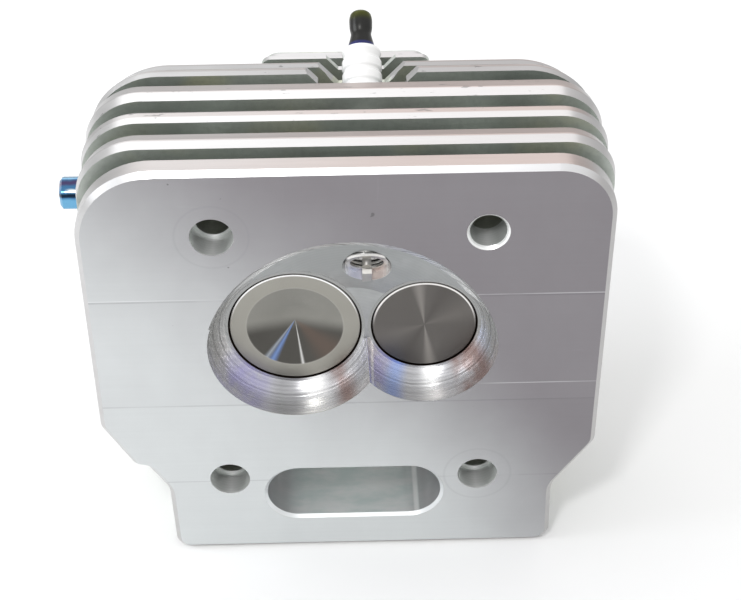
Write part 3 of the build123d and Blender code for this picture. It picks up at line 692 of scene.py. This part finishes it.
def exhaust_face():
    f = Finish("valve_exhaust_faced")
    radius = away(f, *EXHAUST)
    cloud, fine = f.noise(80, 4), f.noise(1500, 2)
    marks = (radius * 24.0).sin() * 0.5 + 0.5
    colour = f.mix(cloud * 0.5 + marks * 0.5, (0.110, 0.103, 0.097), (0.155, 0.146, 0.138))
    # painted highlights in two fans and a painted fan of shade, by the angle round the stem
    colour = f.mix(fan(f, EXHAUST, -0.13, 0.10) * 0.55, colour, (0.33, 0.31, 0.29))
    colour = f.mix(fan(f, EXHAUST, 1.20, 0.22) * 0.28, colour, (0.23, 0.215, 0.20))
    colour = f.mix(fan(f, EXHAUST, 0.45, 0.20) * 0.35, colour, (0.080, 0.073, 0.069))
    # painted highlight on the top of the valve's edge
    edge = radius.above(14.9, 0.15) * f.y.below(13.0) * f.z.above(VALVE_Z + 4, 5)
    colour = f.mix(edge, colour, (0.90, 0.88, 0.86))
    return f.shader(base_color=colour, metallic=1.0, roughness=0.32 + marks * 0.08,
                    normal=f.bump(marks * 0.6 + fine * 0.4, 0.00001))


print("valve finishes ready")

# %% Valves
FACE_Y, MARGIN_Y = 10.6, 11.8
INTAKE_R, EXHAUST_R, DISH_R, DISH_DEPTH = 19.45, 15.5, 14.45, 3.6


def valve(name, axis, radius, tip, face, material):
    """A valve of that radius, with its face's outline given from the middle out."""
    cone = radius - 2.6
    stem = [(cone, MARGIN_Y + 2.6), (cone * 0.66, MARGIN_Y + 4.4), (cone * 0.44, MARGIN_Y + 7.2),
            (5.2, MARGIN_Y + 11), (3.9, MARGIN_Y + 16), (3.3, MARGIN_Y + 22), (3.3, 82.2),
            (2.7, 82.6), (2.7, 83.6), (3.3, 84.0), (3.3, tip - 0.5), (2.8, tip), (0, tip)]
    outline = face + [(radius, FACE_Y), (radius, MARGIN_Y)] + stem
    bm = spun(bmesh.new(), rounded(outline, 0.35, 4), 160)
    return settle(bm, name, material, along((axis[0], 0, axis[1]), (0, 1, 0)), 26)


dished = [(0, FACE_Y + DISH_DEPTH), (DISH_R * 0.5, FACE_Y + DISH_DEPTH * 0.5), (DISH_R, FACE_Y)]
valve_in = valve("intake_valve_turned", INTAKE, INTAKE_R, 90.0, dished, intake_face())
fit(valve_in, "intake_valve_group", "intake_valve")
valve_ex = valve("exhaust_valve_turned", EXHAUST, EXHAUST_R, 88.7, [(0, FACE_Y)], exhaust_face())
fit(valve_ex, "exhaust_valve_group", "exhaust_valve")

# %% [markdown]
# ## Valve springs
# Each spring is round wire with its end coils closed up and ground flat. A curve with a bevel
# would do, but the spin operator can climb as it turns, which winds a wire section into a coil
# in the same way as a spring winder does. The pitch changes between the closed ends and the open
# middle. In the engine the spring shortens with its valve.

# %% Springs
SEAT_TOP, RETAINER_UNDER = 51.6, 82.0


def coil(name, x, material):
    """A compression spring round the valve stem at x, with closed and ground ends."""
    wire, radius = 1.72, 11.2
    bm = bmesh.new()
    low = SEAT_TOP + wire + 0.02
    high = RETAINER_UNDER - wire - 0.02
    closed = 2 * wire * 0.98
    middle = (high - low - 2 * closed) / 4
    start = Matrix.Translation(mm(radius, 0, 0)) @ Matrix.Rotation(math.pi / 2, 4, "X")
    ring = bmesh.ops.create_circle(bm, segments=16, radius=wire * MM, matrix=start)
    geom = ring["verts"] + list({e for v in ring["verts"] for e in v.link_edges})
    for pitch, turns, steps in ((closed, 1, 40), (middle, 4, 160), (closed, 1, 40)):
        made = bmesh.ops.spin(bm, geom=geom, cent=(0, 0, 0), axis=(0, 0, 1), steps=steps,
                              angle=math.tau * turns, dvec=mm(0, 0, pitch * turns / steps))
        geom = made["geom_last"]
    bmesh.ops.remove_doubles(bm, verts=bm.verts, dist=0.000002)
    for level, outwards in ((-wire * 0.55, -1), (high - low + wire * 0.55, 1)):
        bmesh.ops.bisect_plane(bm, geom=bm.verts[:] + bm.edges[:] + bm.faces[:],
                               plane_co=mm(0, 0, level), plane_no=(0, 0, outwards), clear_outer=True)
    bmesh.ops.holes_fill(bm, edges=[e for e in bm.edges if e.is_boundary], sides=0)
    return settle(bm, name, material, along((x, low, VALVE_Z), (0, 1, 0)), 40)


def spring_steel():
    f = Finish("spring_oiled")
    cloud, fine = f.noise(120, 4), f.noise(1800, 3)
    colour = f.mix(cloud, (0.10, 0.105, 0.12), (0.22, 0.225, 0.24))
    outer = away(f, *INTAKE).above(11.9, 0.3) & away(f, *EXHAUST).above(11.9, 0.3)
    colour = f.mix(outer * fine.above(0.5, 0.1) * 0.4, colour, (0.42, 0.42, 0.43))
    return f.shader(base_color=colour, metallic=1.0, roughness=0.34 + fine * 0.15,
                    normal=f.bump(fine, 0.00002))


spring_finish = spring_steel()
for side, axis in (("intake", INTAKE), ("exhaust", EXHAUST)):
    spring = coil(f"{side}_spring_coil", axis[0], spring_finish)
    fit(spring, "head", f"{side}_spring")
    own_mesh(spring)

# %% [markdown]
# ## Spark plug
# The plug leans away from the joint face, so everything on it is turned round one slanted axis.
# Its white insulator has soft ribs that lengthen the path for a stray spark, and the terminal
# on top is waisted so that a cap can snap over it. Both are spun from outlines, with rounded
# corners that give the glaze and the dark plating their thin highlights.

# %% Plug insulator and terminal
PLUG_REACH, TERMINAL_BASE, PLUG_TOP = 19.0, 48.2, 60.5


def up_plug(f):
    """Distance in mm up the plug from its seat."""
    return (f.y - PLUG_SEAT[1]) * PLUG_AXIS[1] + (f.z - PLUG_SEAT[2]) * PLUG_AXIS[2]


def glaze():
    f = Finish("plug_glaze")
    cloud, speck = f.noise(90, 3), f.noise(1400, 3)
    nose = up_plug(f).below(-8, 0.5)
    colour = f.mix(cloud, (0.90, 0.90, 0.895), (0.95, 0.95, 0.945))
    colour = f.mix(speck.above(0.74, 0.02) * 0.4, colour, (0.55, 0.53, 0.50))
    colour = f.mix(nose * 0.2, colour, (0.90, 0.86, 0.80))
    return f.shader(base_color=colour, metallic=0.0, roughness=0.10 + cloud * 0.08,
                    specular_ior_level=0.5, normal=f.bump(cloud, 0.00003))


def dark_plate():
    f = Finish("plug_terminal_dark")
    along_it, cloud, fine = up_plug(f), f.noise(150, 3), f.noise(1500, 3)
    colour = f.mix(cloud, (0.022, 0.022, 0.021), (0.05, 0.05, 0.048))
    colour = f.mix(along_it.above(57.6, 1.2), colour, (0.075, 0.080, 0.022))
    colour = f.mix(along_it.below(49.4, 0.4), colour, (0.045, 0.05, 0.16))
    return f.shader(base_color=colour, metallic=0.85, roughness=0.24 + fine * 0.16,
                    normal=f.bump(fine, 0.00001))


RIBS, RIB_START, RIB_STEP, BARREL_R = 5, 24.4, 4.2, 5.95
ribs = []
for n in range(RIBS):
    low = RIB_START + n * RIB_STEP
    ribs += [(BARREL_R, low), (BARREL_R, low + 2.5),
             (BARREL_R - 0.55, low + 3.1), (BARREL_R - 0.55, low + 3.7)]
bm = spun(bmesh.new(), rounded([
    (1.3, -PLUG_REACH + 1.6), (2.6, -PLUG_REACH + 1.6), (4.2, -5), (4.2, -4.2), (6.2, -1.8), (6.2, 14.0),
    (BARREL_R, 16.5), *ribs, (BARREL_R, TERMINAL_BASE - 1.5), (5.3, TERMINAL_BASE - 0.4),
    (4.5, TERMINAL_BASE), (1.3, TERMINAL_BASE)], 0.5, 4))
insulator = settle(bm, "plug_insulator_ribbed", glaze(), along(PLUG_SEAT, PLUG_AXIS), 40)
fit(insulator, "head", "plug_insulator")

bm = spun(bmesh.new(), rounded([
    (0, TERMINAL_BASE), (4.1, TERMINAL_BASE), (3.9, TERMINAL_BASE + 1.2), (3.3, TERMINAL_BASE + 3.4),
    (3.0, TERMINAL_BASE + 4.8), (3.4, TERMINAL_BASE + 6.6), (3.5, TERMINAL_BASE + 9.6),
    (3.1, PLUG_TOP - 1.0), (2.2, PLUG_TOP - 0.2), (0, PLUG_TOP)], 0.7, 4), 64)
terminal = settle(bm, "plug_terminal_waisted", dark_plate(), along(PLUG_SEAT, PLUG_AXIS), 50)
fit(terminal, "head", "plug_terminal")

# %% [markdown]
# ## Threads and hexagons
# A thread is a tooth that climbs as it goes round, so the spin with a rise per step makes it,
# as it does the springs. The tooth rides on a plain core, which closes the surface under it. A
# hexagon starts as a six-sided circle, is drawn out, and loses its corners to a small inset at
# each end: that is the chamfer of a real bolt head, which keeps a spanner from tearing it.

# %% Threads and hexagons
def thread(bm, radius, low, high, pitch, steps=24):
    """A climbing tooth round Z from one height to another, without a core."""
    tooth = pitch * 0.55
    turns = int((high - low) / pitch)
    root, crest = radius - tooth, radius - 0.04
    section = [(root, 0), (crest, pitch * 0.42), (crest, pitch * 0.58), (root, pitch)]
    points = [bm.verts.new(mm(r, 0, low + t)) for r, t in section]
    edges = [bm.edges.new(pair) for pair in zip(points, points[1:])]
    bmesh.ops.spin(bm, geom=points + edges, cent=(0, 0, 0), axis=(0, 0, 1),
                   angle=math.tau * (turns - 1), steps=steps * (turns - 1),
                   dvec=mm(0, 0, pitch / steps))


def hexagon(bm, flats, low, high, chamfer=0.5, corner=0.22):
    """A six-sided prism round Z with chamfered ends."""
    radius = flats / math.sqrt(3)
    ring = bmesh.ops.create_circle(bm, cap_ends=True, segments=6, radius=radius * MM,
                                   matrix=Matrix.Translation(mm(0, 0, low + chamfer)))
    base = ring["verts"][0].link_faces[0]
    made = bmesh.ops.extrude_face_region(bm, geom=[base])["geom"]
    top = next(g for g in made if isinstance(g, bmesh.types.BMFace))
    bmesh.ops.translate(bm, verts=top.verts[:], vec=mm(0, 0, high - low - 2 * chamfer))
    sides = {e for v in top.verts for e in v.link_edges if e not in top.edges[:]}
    for face, rise in ((base, -chamfer), (top, chamfer)):
        bmesh.ops.inset_region(bm, faces=[face], thickness=chamfer * 1.5 * MM, use_even_offset=True)
        bmesh.ops.translate(bm, verts=face.verts[:], vec=mm(0, 0, rise))
    bmesh.ops.bevel(bm, geom=list(sides), offset=corner * MM, segments=3, profile=0.5,
                    affect="EDGES", material=-1)


print("thread and hexagon ready")

# %% [markdown]
# ## The shroud bolt
# A flange bolt holds the sheet-metal shroud that guides the cooling air. Its blue comes from
# the passivation film on the zinc, whose tint changes with the film's thickness. A thin-film
# setting would give that, but it is lost when a model is baked, so the blue is laid into the
# colour. The light and dark bands round the bolt and its white glint are painted reflections,
# worked out from the angle round the bolt.

# %% Shroud bolt
BOLT_AT, BOLT_END_X = (-78.5, 40.5, 35.1), -86.4


def blued_zinc():
    """Blue-passivated zinc, with painted reflections in blue, violet and ink bands along the flats, and a
    painted glint.
    """
    f = Finish("bolt_blue_zinc")
    cloud, fine = f.noise(160, 3), f.noise(1500, 3)
    round_it = (f.y - BOLT_AT[1]).angle(f.z - BOLT_AT[2]) + cloud * 0.3 - 0.15
    colour = f.mix(cloud, (0.06, 0.19, 0.38), (0.10, 0.27, 0.48))
    # painted reflections: light and dark bands by the angle round the bolt
    colour = f.mix(round_it.above(-0.1, 0.15), colour, (0.26, 0.42, 0.56))
    colour = f.mix(round_it.band(-0.52, -0.22, 0.12) * 0.9, colour, (0.10, 0.065, 0.16))
    # painted glint
    painted_glint = round_it.band(-0.98, -0.80, 0.08) * f.x.above(-83.6, 1.2)
    colour = f.mix(painted_glint, colour, (0.86, 0.96, 1.0))
    colour = f.mix(round_it.band(-1.32, -1.06, 0.08), colour, (0.012, 0.025, 0.05))
    colour = f.mix(round_it.below(-1.45, 0.12), colour, (0.16, 0.40, 0.62))
    return f.shader(base_color=colour, metallic=1.0, roughness=0.18 + fine * 0.12,
                    normal=f.bump(fine, 0.00001))


bm = bmesh.new()
spun(bm, rounded([(0, -13), (2.4, -13), (2.9, -12), (2.9, 0), (6.2, 0), (6.4, 0.3), (6.4, 0.9),
                  (4.9, 1.7), (0, 1.7)], 0.25), 96)
hexagon(bm, 9.6, 1.2, BOLT_AT[0] - BOLT_END_X - 0.02, 0.9, 1.1)
bolt = settle(bm, "shroud_bolt_flanged", blued_zinc(), along(BOLT_AT, (-1, 0, 0)), 30)
fit(bolt, "head", "shroud_bolt")

# %% [markdown]
# ## Studs and nuts
# Two studs stand out of the exhaust flange, and each rocker turns on a stud with a lock nut.
# A stud could be one turned profile with the thread as bump, but its thread shows against the
# light, so it is a turned core with a real thread wound on it.

# %% Studs and nuts
zinc = steel("stud_zinc_plate", (0.50, 0.47, 0.36), (0.70, 0.68, 0.56), rough=0.26)
oiled = steel("stud_steel_oiled", (0.20, 0.20, 0.21), (0.38, 0.38, 0.40), rough=0.28)
black = steel("nut_steel_blacked", (0.09, 0.09, 0.10), (0.20, 0.20, 0.22), rough=0.32)

bm = bmesh.new()
for z in (VALVE_Z - 23, VALVE_Z + 23):
    stud = bmesh.new()
    spun(stud, [(0, 0.1), (3.4, 0.1), (3.4, 31.0), (3.0, 31.9), (0, 31.9)], 48)
    thread(stud, 3.97, 15.2, 31.6, 1.25)
    spun(stud, [(0, 20.0), (3.75, 20.0), (3.75, 21.4), (0, 21.4)], 48)
    spare = bpy.data.meshes.new("stud")
    stud.transform(along((47, 30, z), (1, 0, 0)))
    stud.to_mesh(spare)
    stud.free()
    bm.from_mesh(spare)
    bpy.data.meshes.remove(spare)
studs = settle(bm, "exhaust_studs_threaded", zinc, Matrix.Identity(4), 30)
fit(studs, "head", "exhaust_studs")

PIVOT_Y, PIVOT_Z, PILLAR_TOP = 92.2, -24.0, 72.0
STUD_TOP = PIVOT_Y + 10.95
for side, (x, _) in (("intake", INTAKE), ("exhaust", EXHAUST)):
    bm = bmesh.new()
    spun(bm, [(0, 60.1), (3.45, 60.1), (3.45, PIVOT_Y + 10.2), (3.0, STUD_TOP), (0, STUD_TOP)], 48)
    thread(bm, 3.97, 77.6, PIVOT_Y + 10.6, 1.0)
    hexagon(bm, 10.9, PILLAR_TOP + 2.0, PILLAR_TOP + 5.4, 0.35)
    stud = settle(bm, f"{side}_rocker_stud_threaded", oiled, along((x, 0, PIVOT_Z), (0, 1, 0)), 30)
    fit(stud, "head", f"{side}_rocker_stud")
    bm = bmesh.new()
    hexagon(bm, 11.3, PIVOT_Y + 1.02, PIVOT_Y + 7.48, 0.6)
    spun(bm, [(4.0, PIVOT_Y + 7.50), (4.6, PIVOT_Y + 7.50), (5.0, PIVOT_Y + 7.2)], 48)
    nut = settle(bm, f"{side}_lock_nut_chamfered", black, along((x, 0, PIVOT_Z), (0, 1, 0)), 30)
    fit(nut, "head", f"{side}_lock_nut")

# %% [markdown]
# ## The parts that keep their CAD shape
# Seats, guides, retainers and the rocker gear are exact in CAD down to their fits, and their
# edges are crisp in life too, so their meshes stay. Each gets a finish of its own: turned marks
# round its own axis where it was turned, a fine even grain where it was pressed or blasted.

# %% Finishes for the carried-over nodes
def seat_finish(name, axis, valve_radius):
    """The ring is cut together with the chamber, so it shares its sweep; its bore is dark."""
    f = Finish(name)
    colour, rough, relief = chamber_finish(f, f.noise(28, 4), flat_is_roof=False)
    # painted shade: the ring's upper half is a darker grey
    painted_upper_shade = f.z.above(VALVE_Z - 4, 5)
    colour = f.mix(painted_upper_shade, colour, (0.33, 0.335, 0.33))
    inner = away(f, *axis).below(valve_radius + 0.5, 0.06)
    colour = f.mix(inner | f.y.above(10.6, 0.05), colour, (0.06, 0.04, 0.03))
    return f.shader(base_color=colour, metallic=1.0, roughness=rough + inner * 0.2,
                    normal=f.bump(relief, 0.00004))


def moulded_rubber():
    f = Finish("seal_rubber_black")
    fine = f.noise(1100, 3)
    colour = f.mix(fine, (0.018, 0.018, 0.018), (0.045, 0.045, 0.045))
    return f.shader(base_color=colour, roughness=0.55 + fine * 0.15, normal=f.bump(fine, 0.00003))


def plug_body():
    """Bright nickel, with the thread's grooves below the seat cut in relief and darkened as painted shade.
    """
    f = Finish("plug_nickel_bright")
    along_it, fine = up_plug(f), f.noise(1300, 3)
    groove = (along_it * (math.tau / 1.25)).sin() * 0.5 + 0.5
    threaded = along_it.below(0, 0.1) * along_it.above(-18.4, 0.1)
    colour = f.mix(fine, (0.62, 0.61, 0.59), (0.80, 0.79, 0.77))
    # painted shade in the thread's grooves
    colour = f.mix(threaded * groove * 0.6, colour, (0.20, 0.20, 0.20))
    return f.shader(base_color=colour, metallic=1.0, roughness=0.20 + fine * 0.10,
                    normal=f.bump(groove * threaded * 8 + fine * 0.2, 0.00006))


def dress(node, material):
    """Gives a CAD node a finish."""
    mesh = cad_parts[node].data
    mesh.materials.clear()
    mesh.materials.append(material)
    print(f"{node}: {material.name}")


dress("intake_valve_seat", seat_finish("seat_intake_cut", INTAKE, INTAKE_R))
dress("exhaust_valve_seat", seat_finish("seat_exhaust_cut", EXHAUST, EXHAUST_R))
dress("intake_stem_seal", moulded_rubber())
dress("plug_shell", plug_body())
dress("plug_gasket", steel("gasket_folded", (0.42, 0.42, 0.42), (0.60, 0.60, 0.60), rough=0.34))
dress("pushrod_guide_plate", steel("plate_pressed", (0.34, 0.34, 0.35), (0.50, 0.50, 0.51), rough=0.34))
electrode = steel("electrode_nickel_warm", (0.66, 0.64, 0.61), (0.90, 0.88, 0.84), rough=0.30)
for node in ("plug_centre_electrode", "plug_ground_electrode"):
    dress(node, electrode)
# node, finish, dark, light, roughness, whether it is turned round its valve, marks' pitch, depth
GEAR = (
    ("valve_guide", "guide_bronze", (0.42, 0.27, 0.12), (0.62, 0.43, 0.22), 0.30, True, 0.25, 0.00001),
    ("spring_seat", "spring_seat_pressed", (0.26, 0.26, 0.27), (0.40, 0.40, 0.41), 0.36, True, 0.5, 0.00001),
    ("retainer", "retainer_turned", (0.30, 0.30, 0.32), (0.46, 0.46, 0.48), 0.26, True, 0.4, 0.00001),
    ("keepers", "keepers_ground", (0.42, 0.42, 0.44), (0.60, 0.60, 0.62), 0.22, True, 0.25, 0.00001),
    ("rocker_arm", "rocker_hardened", (0.27, 0.265, 0.26), (0.46, 0.455, 0.45), 0.33, False, 0.25, 0.00004),
    ("rocker_pivot", "pivot_ground", (0.40, 0.40, 0.42), (0.58, 0.58, 0.60), 0.18, False, 0.25, 0.00001),
)
for side, axis in (("intake", INTAKE), ("exhaust", EXHAUST)):
    for node, name, dark, light, rough, turned, pitch, depth in GEAR:
        finish = steel(f"{side}_{name}", dark, light, rough, axis if turned else None, pitch, depth)
        dress(f"{side}_{node}", finish)
dress("exhaust_lash_cap", steel("lash_cap_ground", (0.44, 0.44, 0.46), (0.62, 0.62, 0.64), 0.20, EXHAUST))

# %% [markdown]
